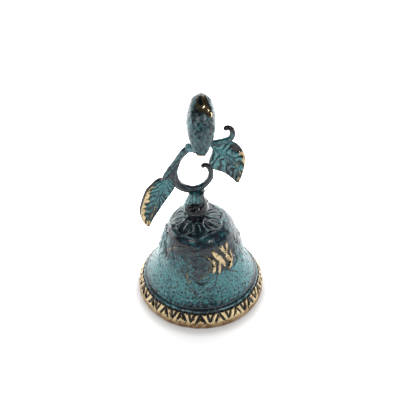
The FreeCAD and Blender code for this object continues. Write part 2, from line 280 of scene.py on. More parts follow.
class Field:
    """Where every point of a strip of the bell's outside is, and its relief so far, in mm."""

    def __init__(self, profile, columns):
        self.angle = (np.arange(columns) * 360 / columns - 180)[None, :]
        self.radius = profile[:, :1]
        self.z = profile[:, 1:]
        self.rise = run_length(profile)[:, None]
        turn = np.radians(self.angle)
        self.points = stacked(self.radius * np.sin(turn), -self.radius * np.cos(turn), self.z)
        slope = np.gradient(profile, axis=0)
        slope /= np.linalg.norm(slope, axis=1)[:, None]
        self.normals = stacked(slope[:, 1:] * np.sin(turn), -slope[:, 1:] * np.cos(turn), -slope[:, :1])
        self.height = np.zeros(self.points.shape[:2])
        self.shade = np.zeros_like(self.height)
        self.gold = np.zeros_like(self.height)
        self.pale = np.zeros_like(self.height)
        self.green = np.zeros_like(self.height)

    def around(self, angle, z):
        """Distances in mm to the right of and above a place, given as its angle from the front and height."""
        across = np.radians(turned(self.angle, angle)) * np.interp(z, self.z[:, 0], self.radius[:, 0])
        above = self.rise - np.interp(z, self.z[:, 0], self.rise[:, 0])
        return np.broadcast_arrays(across, above)

    def noise(self, size, seed):
        return noise(self.points, size, seed)

    def darken(self, shade):
        self.shade = np.maximum(self.shade, shade)

    def whiten(self, pale):
        self.pale = np.maximum(self.pale, pale)

    def gild(self, gold):
        self.gold = np.maximum(self.gold, gold)

    def cut(self, path, width, depth, place, shade):
        """A rounded groove along a path of points around a place."""
        u, v = self.around(*place)
        distance, _ = distance_to_path(u, v, path)
        groove = bump(distance, width)
        self.height -= depth * groove
        self.gold *= 1 - groove
        self.darken(shade * groove)

    def line_of_gold(self, path, width, gold, place):
        """A narrow rubbed ridge along a path of points around a place."""
        u, v = self.around(*place)
        distance, _ = distance_to_path(u, v, path)
        self.height += 0.2 * bump(distance, 2 * width)
        self.gild(gold * fall(0.6 * width, 1.4 * width, distance))

    def rings(self):
        points = self.points + self.normals * self.height[..., None]
        return list(points), list(stacked(self.shade, self.gold, self.pale, self.green))


def chase_rim(field):
    """Slanted gold bars between wide chased grooves, over a plain gold border, under a ridge."""
    pitch = 18
    waver = field.noise(5, 1)
    u = np.radians((field.angle + pitch / 2) % pitch - pitch / 2) * field.radius + 0.5 * waver
    w = np.radians(field.angle % pitch - pitch / 2) * field.radius + 0.5 * field.noise(6, 2)
    z = field.z + 0.35 * field.noise(4, 3)
    tent, _ = distance_to_path(np.abs(u), z, [(0.0, 10.6), (1.0, 8.2), (2.4, 5.7)])
    valley, _ = distance_to_path(np.abs(w), z, [(0.0, 6.0), (0.8, 8.0), (1.7, 10.6)])
    stroke = 1.15 + 0.4 * field.noise(4.5, 5)
    grooves = np.maximum(bump(tent, stroke), bump(valley, 0.85 * stroke))
    zone = ramp(5.2, 5.9, z) * fall(10.4, 10.9, z)
    border_line = near(z, 5.5, 0.45) * ramp(-0.5, 0.3, field.noise(6, 6))
    top_line = near(z, 10.7, 0.6)
    swell = zone * (1 - grooves)
    field.height += 0.65 * swell - 0.55 * grooves * zone - 0.2 * border_line - 0.45 * top_line
    field.height += 0.5 * near(field.z, 11.6, 0.85)
    field.height -= 0.3 * near(field.z, 12.7, 0.6)
    metal = fall(9.9, 10.7, z)
    cavities = most(grooves * zone, 0.45 * border_line, top_line)
    field.gold = metal * fall(0.15, 0.6, cavities)
    # The plain border is browned all round: partly tarnish, and partly painted shade for the shadowed floor
    # that it faces.
    dull_and_shadowed = fall(4.6, 5.6, field.z) * (0.9 + 0.25 * field.noise(4, 7))
    field.shade = np.maximum(ramp(0.1, 0.7, cavities), 0.75 * near(field.z, 12.8, 0.9))
    field.darken(dull_and_shadowed)
    field.pale = 0.7 * near(field.z, 11.6, 0.6) * ramp(-0.3, 0.4, field.noise(3, 4))


def dimple_skirt(field, random):
    """Rows of small hammered pits with pale rims around the skirt."""
    for number, (z, count, radius) in enumerate(PIT_ROWS):
        for index in range(count):
            angle = (index + 0.5 * (number % 2)) * 360 / count
            place = angle + random.uniform(-3.0, 3.0), z + random.uniform(-1.0, 1.0)
            size = radius * random.uniform(0.6, 1.3)
            tall = random.uniform(0.9, 1.6)
            u, v = field.around(*place)
            away = np.hypot(u, v / tall) / size
            pit = bump(away, 1.0)
            rim = near(away, 1.2, 0.5)
            field.height += 0.12 * rim - 0.35 * pit
            field.gild(0.3 * pit)
            field.whiten(0.3 * rim)
            field.darken(random.uniform(0.0, 0.35) * bump(away, 0.9))


def bloom(field, place, rings, lobes, lean):
    """An open flower of overlapping petal rows, blurred by wear. rings are radii from the outside in."""
    u, v = field.around(*place)
    u = u + 1.6 * field.noise(4.0, 11) + 0.6 * field.noise(1.6, 13)
    v = v + 1.6 * field.noise(4.0, 12) + 0.6 * field.noise(1.6, 14)
    reach = np.hypot(u, v)
    turn = np.arctan2(v, u)
    crisp = 0.5 + 0.6 * field.noise(3.5, 15)
    for index, radius in enumerate(rings):
        petals = np.abs(np.cos(lobes[index] * (turn + lean * index) / 2))
        share = reach / (radius * (0.8 + 0.2 * petals))
        inside = fall(0.92, 1.08, share)
        cup = share**3 * inside
        lip = near(share, 0.95, 0.14)
        under = near(share, 1.1, 0.16)
        field.height += crisp * (0.1 * inside + 0.4 * cup - 0.25 * under)
        field.shade = np.maximum(field.shade * (1 - 0.7 * inside), 0.42 * crisp * under)
        field.darken(0.25 * crisp * inside * near(share, 0.6, 0.3))
        field.pale = np.maximum(field.pale * (1 - inside), 0.22 * crisp * lip)


def fan_leaf(field, place, wear):
    """A leaf of slanted pointed lobes with their tops rubbed to gold, and dark veins between them."""
    lobes = (
        (((-1.6, 9.8), (0.6, 7.4), (2.4, 3.4)), 1.25),
        (((4.6, 9.6), (4.2, 6.0), (3.4, 2.2)), 0.75),
        (((-6.2, 7.4), (-2.0, 1.6), (1.6, -5.0)), 1.6),
        (((1.6, 3.4), (4.0, -0.6), (6.0, -3.6)), 1.35),
        (((5.6, -3.0), (4.6, -5.6), (2.6, -8.0)), 0.85),
        (((5.8, 3.0), (6.4, -0.6), (6.2, -4.6)), 0.45),
        (((-8.0, 4.0), (-5.6, 0.6), (-4.2, -2.0)), 0.85),
        (((-4.4, 0.4), (-5.0, -3.0), (-6.6, -6.6)), 1.0),
        (((-1.9, 0.0), (-2.4, -4.0), (-3.6, -8.2)), 0.95),
    )
    u, v = field.around(*place)
    u = u + 0.35 * field.noise(3, 21) + 0.3 * field.noise(1.2, 24)
    v = v + 0.35 * field.noise(3, 22) + 0.3 * field.noise(1.2, 25)
    top = np.zeros_like(field.height)
    for path, half_width in lobes:
        distance, along = distance_to_path(u, v, path)
        width = 0.12 + half_width * (1 - np.abs(2 * along - 1) ** 2.2)
        top = np.maximum(top, fall(0.6 * width, 1.15 * width, distance))
    reach = np.hypot(u - 0.4, v - 1.0) + 1.6 * field.noise(3.5, 26)
    ground = fall(5.5, 9.5, reach)
    field.height += 0.75 * top - 0.25 * ground
    field.darken(0.7 * ground * (1 - top))
    cracks = bump(np.abs(np.sin(1.9 * u + 1.15 * v + 1.6 * field.noise(2, 27))), 0.4)
    worn = ramp(-0.5, 0.05, field.noise(1.3, 23) + wear - 0.6) * (1 - 0.75 * cracks)
    field.gild(ramp(0.55, 0.9, top) * worn * wear)
    stain = ramp(-0.3, 0.5, field.noise(1.8, 28))
    field.darken(0.55 * stain * top)


# Lines rubbed to gold in each garland: path, half width, strength, and the turn and height of its middle.
GOLD_LINES = (
    (((3.4, 8.6), (5.6, 5.0), (5.8, 1.2), (3.4, -2.6), (-0.2, -5.0)), 0.45, 0.40, 0, 34.6),
    (((-1.0, 3.6), (-0.6, 0.0), (1.2, -2.6)), 0.45, 0.45, -16, 28.6),
    (((-9.5, 3.0), (-6.4, 6.6), (-4.0, 8.6)), 0.35, 0.50, -36, 35.0),
)
# Dark creases in each garland: path, half width, depth, darkness, and the turn and height of its middle.
CREASES = (
    (((0.0, 8.0), (0.6, 2.0), (-1.5, -6.0)), 0.7, 0.45, 0.6, 22, 30.0),
    (((-4.0, 4.0), (0.0, 0.0), (5.0, -4.5)), 0.7, 0.40, 0.6, 42, 30.0),
    (((-1.0, 3.6), (1.2, 1.0), (0.4, -2.6), (-2.6, -3.4)), 0.9, 0.50, 0.6, 58, 34.0),
    (((0.2, 6.0), (-0.8, 1.0), (2.4, -4.0)), 0.6, 0.45, 0.6, 71, 40.5),
    (((-3.0, 0.6), (0.0, -0.6), (3.4, 0.4)), 0.9, 0.50, 0.8, 0, 26.6),
    (((-5.0, -0.6), (-1.0, 0.6), (4.0, 0.8), (8.0, 0.0)), 0.5, 0.30, 0.8, -28, 46.2),
)


def garland(field, angle, wear):
    """One part of the flowers and leaves around the body, from its middle at an angle."""
    field.cut([(-9.0, 2.0), (-2.0, 7.5), (4.0, 10.8), (9.0, 10.6)], 1.0, 0.3, (angle - 34, 35.5), 0.5)
    bloom(field, (angle - 34, 34.5), (10.6, 7.6, 4.8, 2.2), (7, 6, 5, 4), 0.5)
    bloom(field, (angle - 3, 36.0), (7.4, 5.0, 2.8), (4, 4, 3), 0.9)
    fan_leaf(field, (angle + 34, 38.0), wear)
    for path, width, gold, turn, z in GOLD_LINES:
        field.line_of_gold(path, width, gold * wear, (angle + turn, z))
    for path, width, depth, shade, turn, z in CREASES:
        field.cut(path, width, depth, (angle + turn, z), shade)


CROWN_INNER = 5.4
CROWN_OUTER = 13.6
CROWN_LEVEL = 46
CROWN_PETALS = 7


def petal_crown(field, random):
    """Broad overlapping petals with raised edges and ribs, laid out from the bead to the shoulder."""
    across = field.points[..., 0] - HANDLE_X
    forward = -field.points[..., 1]
    reach = np.hypot(across, forward)
    bearing = np.degrees(np.arctan2(across, forward)) + 5.0 * field.noise(5, 31)
    on_top = field.z > CROWN_LEVEL
    hem_noise = 0.4 * field.noise(3, 32)
    ground = fall(-0.5, 0.5, reach - CROWN_OUTER) * on_top
    height = -0.35 * ground
    shade = 0.8 * ground
    pale = np.zeros_like(reach)
    for number in [*range(0, CROWN_PETALS, 2), *range(1, CROWN_PETALS, 2)]:
        middle = number * 360 / CROWN_PETALS + 8 + random.uniform(-4, 4)
        length = CROWN_OUTER - CROWN_INNER + random.uniform(0.0, 1.2)
        bend = random.uniform(-1.4, 1.4)
        turn = turned(bearing, middle)
        share = (reach - CROWN_INNER + hem_noise) / length
        off = np.radians(turn) * np.maximum(reach, 4) + bend * np.clip(share, 0, 1) ** 2
        half_width = 6.2 * np.sin(math.pi * np.clip(0.08 + 0.58 * share, 0, 1)) ** 0.9
        rounding = 6.0 * np.sqrt(np.clip((1 - share) * 3, 0, 1))
        margin = np.minimum(half_width, rounding) - np.abs(off)
        inside = ramp(-0.3, 0.2, margin) * on_top * (share < 1)
        edge = near(margin, 0.45, 0.65)
        rib = bump(np.abs(off), 0.55) * fall(0.55, 0.85, share)
        veins = bump(np.abs(np.abs(off) - 0.5 * half_width), 0.4) * ramp(0.3, 0.5, share)
        ridge = most(edge, 0.6 * rib, 0.3 * veins)
        height = height + inside * (0.1 + 0.5 * ridge - height)
        shade = shade + inside * (0.48 * (1 - ridge) - shade)
        pale = pale + inside * (0.8 * ridge - pale)
    scallops = 0.5 * np.cos(np.radians(bearing * CROWN_PETALS))
    hem = bump(np.abs(reach - CROWN_OUTER - 0.9 - scallops), 0.6) * on_top
    height = height + 0.3 * hem
    pale = np.maximum(pale, 0.6 * hem) * ramp(-0.9, 0.3, field.noise(2.2, 34))
    collar = near(reach, 6.0, 1.4) * (field.z > 50)
    on_crown = fall(CROWN_OUTER - 0.3, CROWN_OUTER + 0.9, reach) * on_top
    field.height += height - 0.5 * collar
    field.shade = most(field.shade * (1 - on_crown), shade, 0.6 * collar)
    field.whiten(pale)


def green_share(z):
    """How much verdigris there is at each height of the bell."""
    heights = (11.0, 14.0, 17.0, 26.0, 34.0, 43.0, 46.0, 50.0)
    shares = (0.50, 0.45, 0.85, 0.75, 0.42, 0.32, 0.38, 0.50)
    return np.interp(z, heights, shares)


def darken_shoulder(field):
    """The shoulder is dark from one height up, and from lower down on its left, where the extra dark is
    painted shade.
    """
    # Painted shade: the left of the shoulder is darker than the rest, and dark from lower down.
    lean = 4.5 * near(field.angle, -62, 60)
    shoulder = ramp(43.0, 47.5, field.z + lean)
    dark = 0.02 + 0.11 * lean + 0.25 * field.noise(6, 33)
    field.darken(shoulder * dark)


def green_and_lit_sides(field):
    """More verdigris on both sides of the skirt, partly painted light from the sides, and the left of the
    waist made lighter, greener and paler, a painted reflection.
    """
    # Painted reflection: the left of the waist is made less dark, greener and paler.
    left_waist = near(field.angle, -82, 34) * ramp(24.0, 30.0, field.z) * (field.z < CROWN_LEVEL)
    field.shade *= 1 - 0.7 * left_waist
    field.green += 0.4 * left_waist
    field.whiten(0.35 * left_waist)
    skirt = ramp(13.0, 17.0, field.z) * fall(26.0, 38.0, field.z)
    # Painted light from the sides as well as verdigris: the skirt is greener, and so lighter, on both sides.
    sides = 0.8 * near(field.angle, -55, 45) + 0.6 * near(field.angle, 58, 45)
    field.green += skirt * sides


def build_bell(material):
    """The cast shell: chased rim, dimpled skirt, flowers, petals on the crown, and its plain inside."""
    path = even_points(BELL_OUTSIDE, 0.2)
    low = path[path[:, 1] <= BAND_TOP]
    high = path[(path[:, 1] > BAND_TOP) | (path[:, 0] < 20)]
    band = Field(even_points(low, 0.33), 720)
    body = Field(even_points(high, 0.42), 360)
    random = np.random.default_rng(7)
    chase_rim(band)
    dimple_skirt(body, random)
    for index, wear in enumerate(GARLAND_WEAR):
        garland(body, index * 360 / len(GARLAND_WEAR), wear)
    darken_shoulder(body)
    petal_crown(body, random)
    green_and_lit_sides(body)
    for field in (band, body):
        field.height += 0.12 * field.noise(4, 41) + 0.07 * field.noise(1.7, 42)
        field.darken(ramp(0.04, 0.3, hollows(field.height, 3, 3)))
        field.green += green_share(field.z) + 0.25 * field.noise(9, 44)
    inside = Field(even_points(BELL_INSIDE, 1.1), 240)
    inside.normals = -inside.normals
    inside.height += 0.1 * inside.noise(5, 43) - 0.1
    inside.shade += 0.35
    inside.gold += 0.5 + 0.3 * inside.noise(6, 45)
    rings, marks = [], []
    for field in (inside, band, body):
        some_rings, some_marks = field.rings()
        rings += [ring.clip((-np.inf, -np.inf, 0.0), np.inf) for ring in some_rings]
        marks += some_marks
    surface = closed_skin(rings, marks)
    make_piece("bell_casting", surface, material, "bell_shell")


# ---- vines


def tube(knots, radii, turns, seed, green, dark_end=2.0, contact_shade_end=0.0):
    """A tapered stem with twisted strands along a smooth curve. radii are read evenly along it.

    The stem is burnt dark beyond dark_end, and has painted shade on its lower right, where it lies against
    the web, as far as contact_shade_end.
    """
    spacing, around, strands, strand_depth = 0.35, 40, 5, 0.06
    length = run_length(smooth_curve(knots, np.linspace(0, 1, 200)))[-1]
    count = round(length / spacing)
    shares = np.linspace(0, 1, count)
    centres = smooth_curve(knots, shares)
    along = np.gradient(centres, axis=0)
    along /= np.linalg.norm(along, axis=1)[:, None]
    side = np.cross(along, (0, 1, 0))
    side /= np.linalg.norm(side, axis=1)[:, None]
    front = np.cross(side, along)
    radius = np.interp(shares, np.linspace(0, 1, len(radii)), radii)
    from_end = np.minimum(shares, 1 - shares) * length
    radius = radius * np.sqrt(np.clip(1 - (1 - np.minimum(from_end / radius, 1)) ** 2, 0.02, 1))
    angle = full_turn(around)
    spin = angle[None] + 2 * math.pi * turns * shares[:, None]
    sideways = np.cos(angle)[None, :, None] * side[:, None]
    directions = sideways + np.sin(angle)[None, :, None] * front[:, None]
    points = centres[:, None] + directions * radius[:, None, None]
    grooves = np.abs(np.cos(strands * spin / 2)) ** 0.7
    lumps = 0.1 * noise(points, 3, seed) + 0.05 * noise(points, 1.2, seed + 1)
    height = (strand_depth * (grooves - 0.6) + lumps) * np.minimum(1, radius)[:, None]
    points = points + directions * height[..., None]
    burnt = ramp(dark_end - 0.04, dark_end + 0.04, shares[:, None] + 0.05 * noise(points, 2, seed + 3))
    shade = np.maximum(0.15 + 0.6 * fall(0.15, 0.75, grooves), 0.8 * burnt)
    # Painted shade where the stem lies against the web: a dark band on its lower right.
    painted_contact_shade = fall(contact_shade_end - 0.05, contact_shade_end, shares)[:, None]
    painted_contact_shade = painted_contact_shade * bump(np.abs(angle - 1.2 * math.pi), 0.5)
    shade = np.maximum(shade, painted_contact_shade)
    pale = 0.2 * ramp(0.9, 1.0, grooves) * (1 - burnt) * (1 - painted_contact_shade)
    cover = green + 0.45 * noise(points, 5, seed + 2) + 0.15 * np.sin(angle)
    return closed_skin(points, stacked(shade, 0.0, pale, cover))


LOOP_KNOTS = (
    (-6.0, 101.2), (-8.8, 98.6), (-11.2, 95.2), (-13.2, 90.4), (-14.4, 84.6), (-13.5, 79.4), (-11.2, 75.7),
    (-7.4, 73.7), (-3.7, 73.5), (0.1, 75.2), (3.3, 78.4), (5.1, 82.3), (5.2, 86.7), (3.8, 89.6), (2.0, 90.4),
    (0.2, 89.0),
)
WEB_KNOTS = ((-10.8, 96.6), (-13.4, 91.6), (-15.6, 86.6), (-16.4, 82.0), (-15.4, 78.4))
STEM_KNOTS = (
    (-19.8, 81.0), (-18.8, 83.4), (-16.6, 87.6), (-13.6, 92.6), (-10.9, 97.6), (-8.6, 101.2), (-5.6, 103.4),
    (0.0, 104.9), (6.0, 106.0), (11.6, 107.4), (15.4, 109.6), (16.4, 113.0), (15.6, 115.8), (13.4, 116.6),
    (12.4, 114.8),
)
# The lumps where loop and stem meet: their middles and half sizes.
NODE_LUMPS = (
    ((-6.5, 0.1, 103.4), (2.1, 2.1, 2.1)),
    ((-5.2, 0.2, 102.4), (2.3, 2.3, 2.3)),
    ((-4.0, 0.4, 102.6), (2.5, 2.3, 2.3)),
    ((-3.2, 0.5, 101.2), (2.0, 2.0, 2.0)),
)


def in_handle_plane(knots, y=0.0):
    return [(x, y, z) for x, z in knots]


def lump(middle, radii, seed):
    """A rounded blob of metal, with its half sizes along X, Y and Z."""
    turn = full_turn(28)
    rings = [np.array([[0, 0, -1.0]])]
    for tilt in np.linspace(math.pi, 0, 20)[1:-1]:
        reach = math.sin(tilt)
        rings.append(stacked(reach * np.cos(turn), reach * np.sin(turn), math.cos(tilt)))
    rings.append(np.array([[0, 0, 1.0]]))
    placed = []
    for ring in rings:
        swell = 1 + 0.16 * noise(2 * ring, 1.6, seed)
        placed.append(middle + ring * radii * swell[:, None])
    marks = [np.tile((0.15, 0.0, 0.35, 0.75), (len(ring), 1)) for ring in placed]
    return skin(placed, marks)


def build_vines(material):
    """The finger loop and the long stem with its tendril."""
    loop_radii = (1.3, 1.5, 1.6, 1.8, 2.0, 2.2, 2.3, 2.3, 2.2, 1.9, 1.8, 1.7, 1.6, 1.5, 1.4, 1.25)
    web_radii = (0.7, 1.6, 2.2, 2.2, 1.5)
    stem_radii = (1.1, 1.6, 1.65, 1.65, 1.6, 1.6, 1.6, 1.6, 1.75, 1.65, 1.7, 1.7, 1.6, 1.5, 1.35)
    loop_line = in_handle_plane(LOOP_KNOTS, 0.6)
    web_line = in_handle_plane(WEB_KNOTS, 0.9)
    stem_line = in_handle_plane(STEM_KNOTS, -0.2)
    loop = tube(loop_line, loop_radii, 0.6, seed=51, green=0.42, dark_end=0.95)
    web = tube(web_line, web_radii, 0.3, seed=55, green=0.2)
    stem = tube(stem_line, stem_radii, 0.5, seed=59, green=0.75, dark_end=0.86, contact_shade_end=0.4)
    lumps = [lump(middle, radii, 63 + index) for index, (middle, radii) in enumerate(NODE_LUMPS)]
    make_piece("finger_loop", merged(loop, web), material, "vine_loop")
    make_piece("leaf_stem", merged(stem, *lumps), material, "vine_stem")


# ---- leaves

# Each leaf's outlines across the handle's plane, and its finish. Pairs are for its left and right halves, but
# gold_run is the stretch of the length over which the gold on the side gold_side widens. walls are the shares
# of the half width that turn down at the edge, and gold starts at the share gold_from.
LEFT_LEAF = {
    "margins": (
        ((-18.6, 82.8), (-20.4, 80.9), (-22.2, 81.2), (-24.2, 80.2), (-27.2, 76.8), (-30.0, 72.6),
         (-32.2, 65.2), (-33.4, 58.6), (-32.6, 52.8), (-30.4, 48.4), (-28.6, 47.0)),
        ((-17.6, 83.0), (-15.4, 81.4), (-13.6, 78.2), (-14.2, 74.4), (-18.4, 66.8), (-22.4, 59.6),
         (-26.0, 52.4), (-27.8, 48.2), (-28.2, 47.0)),
    ),
    "midrib": ((-18.1, 83.2), (-20.0, 77.0), (-22.4, 69.0), (-24.8, 61.0), (-27.2, 53.4), (-28.4, 46.8)),
    "slants": (0.20, 0.28),
    "walls": (0.16, 0.10),
    "gold_side": -1,
    "gold_from": 0.74,
    "gold_run": (0.22, 0.58),
}
RIGHT_LEAF = {
    "margins": (
        ((4.8, 105.0), (5.9, 101.8), (5.2, 98.2), (4.2, 94.4), (4.6, 90.2), (7.4, 87.4), (11.0, 86.3),
         (14.6, 83.6), (17.8, 80.5), (19.4, 78.7)),
        ((5.0, 106.6), (9.0, 107.8), (14.6, 107.8), (18.6, 105.8), (21.4, 102.2), (23.2, 97.6),
         (23.4, 92.6), (22.6, 87.2), (21.2, 81.8), (19.8, 78.7)),
    ),
    "midrib": (
        (4.8, 106.0), (7.2, 102.6), (12.2, 99.8), (16.8, 95.4), (20.0, 90.4), (20.9, 84.8), (19.6, 78.6),
    ),
    "slants": (0.34, 0.10),
    "walls": (0.10, 0.06),
    "gold_side": 1,
    "gold_from": 0.76,
    "gold_run": (0.38, 0.50),
}


def leaf_sheet(margins, midrib):
    """A flat grid between the margins, with each point's share of the length, and its side from -1 to 1."""
    rows, columns = 150, 56
    shares = np.linspace(0, 1, rows)
    curves = (margins[0], midrib, margins[1])
    left, middle, right = (smooth_curve(in_handle_plane(knots), shares)[:, None] for knots in curves)
    share, side = np.meshgrid(shares, np.linspace(-1, 1, columns + 1), indexing="ij")
    edge = np.where((side < 0)[..., None], left, right)
    return middle + (edge - middle) * np.abs(side)[..., None], share, side


def leaf(shape, thickness, camber, veins, depth, seed):
    """A cast leaf with veins grooved into its front, and the outer part of one side rubbed to gold."""
    flat, share, side = leaf_sheet(shape["margins"], shape["midrib"])
    away = np.abs(side)
    slant = np.where(side < 0, *shape["slants"])
    wall = np.where(side < 0, *shape["walls"]) * ramp(0.0, 0.08, share)
    gold_side = side * shape["gold_side"]
    run_start, run_end = shape["gold_run"]
    warp = 0.5 * noise(flat, 5, seed) + 0.22 * noise(flat, 2, seed + 1)
    cycle = np.abs(np.sin(math.pi * ((share - slant * away) * veins + warp)))
    on_face = fall(1 - wall, 1 - wall + 0.05, away)
    spread = ramp(0.05, 0.35, away) * ramp(0.04, 0.16, share + 0.1 * away)
    fingers = away + wall + 0.20 * (cycle - 0.6) * spread + 0.12 * noise(flat, 1.4, seed + 5)
    gold_edge = shape["gold_from"] + 0.2 * fall(run_start, run_end, share)
    band = ramp(gold_edge, gold_edge + 0.05, fingers) * on_face * (gold_side > 0)
    band *= ramp(run_start, run_start + 0.1, share + 0.05 * noise(flat, 2, seed + 6))
    groove = depth * fall(0.08 + 0.28 * away, 0.34 + 0.56 * away, cycle) * spread * on_face
    groove *= 1 - 0.8 * band
    rib = bump(away, 0.09) * ramp(0.03, 0.1, share)
    gully = near(away, 0.13, 0.07) * ramp(0.1, 0.3, share) * 0.7
    border = bump(np.abs(away - 1 + wall + 0.03), 0.06)
    relief = 0.3 * cycle * spread * on_face - 0.6 * groove + 0.25 * rib - 0.3 * gully + 0.2 * border
    relief += 0.14 * noise(flat, 2.2, seed + 2) + 0.09 * noise(flat, 1.0, seed + 3)
    drop = np.sqrt(np.clip(1 - ((away - 1 + wall) / (wall + 0.001)).clip(0, 1) ** 2, 0, 1))
    drop *= np.sqrt(np.clip(1 - (share / 0.02 - 1).clip(-1, 0) ** 2, 0, 1))
    drop *= np.sqrt(np.clip(1 - ((share - 0.965) / 0.035).clip(0, 1) ** 2, 0, 1))
    bulge = camber * ((1 - away**2) * np.sin(math.pi * share) - 0.4)
    front = stacked(flat[..., 0], -(thickness / 2 + relief) * drop - bulge, flat[..., 2])
    thick = np.sqrt(np.clip(1 - away**8, 0, 1)) * np.minimum(1, drop + 0.4)
    back_relief = 0.05 * cycle * spread + 0.16 * noise(flat, 2.2, seed + 4)
    back = stacked(flat[..., 0], (thickness / 2 + back_relief) * thick - bulge, flat[..., 2])
    end = ramp(0.95, 0.965, share)
    tip = ramp(0.84, 0.90, share) * on_face * (gold_side > -0.3) * (1 - end)
    thread = 0.8 * rib * ramp(0.45, 0.6, share) * ramp(-0.2, 0.3, noise(flat, 3, seed + 7))
    shade = most(groove, 0.8 * gully, 0.95 * (1 - on_face), 0.95 * end)
    gold = np.maximum(band * (1 - end), tip) * (1 - 0.35 * groove)
    gold = np.maximum(gold, 0.8 * thread * (1 - groove))
    pale = 0.35 * ramp(0.8, 1.0, cycle) * spread * on_face
    green = 1.0 - 0.4 * ramp(0.2, 0.8, share) + 0.35 * noise(flat, 5, seed + 8)
    back_shade = 0.3 + 0.12 * (1 - cycle) * spread + 0.15 * noise(flat, 3, seed + 9)
    front_marks = stacked(shade, gold, pale, green)
    back_marks = stacked(back_shade, 0.5 * band * away, 0.1 * cycle, green - 0.2)
    rings = np.concatenate([front, back[:, -2:0:-1]], axis=1)
    marks = np.concatenate([front_marks, back_marks[:, -2:0:-1]], axis=1)
    return closed_skin(rings, marks)


def build_leaves(material):
    left = leaf(LEFT_LEAF, thickness=2.6, camber=0.6, veins=9, depth=0.6, seed=101)
    right = leaf(RIGHT_LEAF, thickness=2.2, camber=1.0, veins=7, depth=1.0, seed=120)
    make_piece("leaf_left", left, material, "left_leaf")
    make_piece("leaf_right", right, material, "right_leaf")


# ---- bead and calyx

# Each sepal's middle and half width in degrees from the front, and how far it hangs over the ball.
SEPALS = (
    (-84, 34, 8.6), (-46, 17, 3.4), (-16, 13, 1.8), (10, 12, 2.4), (36, 15, 2.0),
    (70, 24, 5.0), (112, 26, 6.6), (156, 24, 5.6), (-158, 24, 6.4), (-122, 20, 5.0),
)


def build_bead(material):
    """The glossy ball that joins handle and bell, held by the sepals of a calyx under the loop."""
    rows, columns = 150, 200
    outline = joined(
        line((0.3, 53.4), (4.6, 53.5), 10),
        line((4.6, 53.5), (4.1, 55.8), 10),
        arc((4.1, 55.9), (6.4, 62.2), (4.6, 66.8)),
        arc((4.6, 66.8), (4.1, 69.0), (4.1, 72.6), 30),
        line((3.9, 72.6), (0.3, 73.2), 10),
    )
    path = even_points(outline, run_length(outline)[-1] / rows)
    angle = np.linspace(-180, 180, columns, endpoint=False)[None]
    radius, z = path[:, :1], path[:, 1:]
    turn = np.radians(angle)
    outward = stacked(np.sin(turn), -np.cos(turn), 0.0)
    axis = stacked(HANDLE_X, 0.0, z)
    places = axis + outward * radius[..., None]
    ragged = noise(places, 2.2, 71)
    hang = np.zeros_like(angle)
    for middle, half_width, drop in SEPALS:
        apart = turned(angle, middle) / half_width
        hang = np.maximum(hang, drop * np.sqrt(np.clip(1 - apart**2, 0, 1)))
    hem = 69.4 - hang + 0.7 * ragged
    over = ramp(-0.5, 0.4, z - hem)
    near_hem = bump(np.abs(z - hem - 0.5), 0.9)
    gaps = over * fall(0.3, 1.8, hang)
    folds = over * np.abs(np.sin(0.11 * angle + 2.2 * ragged + 0.4 * z)) ** 0.5
    socket = np.hypot((angle + 8) / 52, (z - 64.4 - 0.038 * angle) / 1.2)
    hollow = bump(socket, 1.0) * (1 - over)
    lid = near(socket, 1.2, 0.5) * (1 - over)
    ring = near(z, 60.3, 0.8)
    groove = near(z, 61.9, 0.8)
    neck = near(z, 55.2, 1.6)
    radius = radius + 0.2 * over + 0.15 * near_hem + 0.25 * folds - 0.4 * gaps
    radius = radius - 0.9 * hollow + 0.35 * lid + 0.35 * ring - 0.3 * groove
    radius = radius + 0.1 * noise(places, 1.6, 73) + 0.35 * over * noise(places, 1.6, 72)
    points = axis + outward * radius[..., None]
    dark_side = ramp(-10, 60, angle) * fall(110, 160, angle)
    shade = most(0.85 * (1 - over), 0.9 * gaps, 0.7 * over * (1 - folds), 0.45 * dark_side * over)
    shade = shade + 0.25 * hollow
    pale = np.maximum(0.3 * near_hem * over * (1 - dark_side), 0.15 * ring)
    cover = 0.8 * over * (1 - 0.7 * dark_side) + 0.5 * neck + 0.15
    surface = closed_skin(points, stacked(shade, 0.0, pale, cover))
    make_piece("bead_and_calyx", surface, material, "neck_bead")


# ---- bird

BIRD_PLACE = np.array((0.1, 1.7, 116.0))
BIRD_AXIS = np.array((0.0, math.sqrt(0.5), math.sqrt(0.5)))
BIRD_BACK = np.array((0.0, -math.sqrt(0.5), math.sqrt(0.5)))
BIRD_SIDE = np.array((1.0, 0.0, 0.0))
# Outline of the bird from tail to head: distance along, half width, and how far back and belly stand out.
BIRD_PROFILE = (
    (-15.6, 2.0, 0.9, -0.5),
    (-14.0, 3.1, 1.5, -1.0),
    (-11.0, 4.3, 2.6, -2.2),
    (-7.0, 6.1, 4.6, -4.6),
    (-2.0, 7.2, 6.6, -7.0),
    (3.0, 7.5, 7.2, -7.6),
    (8.0, 7.2, 6.9, -6.6),
    (12.0, 6.1, 6.2, -4.6),
    (15.0, 4.4, 4.6, -3.0),
    (16.6, 2.4, 3.0, -1.6),
    (17.3, 0.6, 1.6, 0.2),
)
# Rubbed strokes on the crown of the head: path by side and distance along, half width, and brightness, which
# on the broad second stroke is partly a painted highlight.
HEAD_STROKES = (
    (((0.9, 15.2), (1.8, 11.6), (2.9, 9.4)), 0.8, 0.35),
    (((1.2, 8.8), (2.8, 7.8), (4.2, 5.2)), 1.4, 1.0),
    (((-2.5, 10.2), (-1.7, 10.7), (-0.8, 9.8), (-0.5, 7.4), (0.8, 7.3), (2.4, 8.2)), 0.55, 0.9),
    (((-1.6, 14.6), (-2.3, 12.6)), 0.4, 0.5),
)


def bird_place(along, side, back):
    """A point by its distance towards the head, to the side and towards the back, from the body's middle."""
    steps = stacked(along, side, back)
    return BIRD_PLACE + steps @ np.array([BIRD_AXIS, BIRD_SIDE, BIRD_BACK])


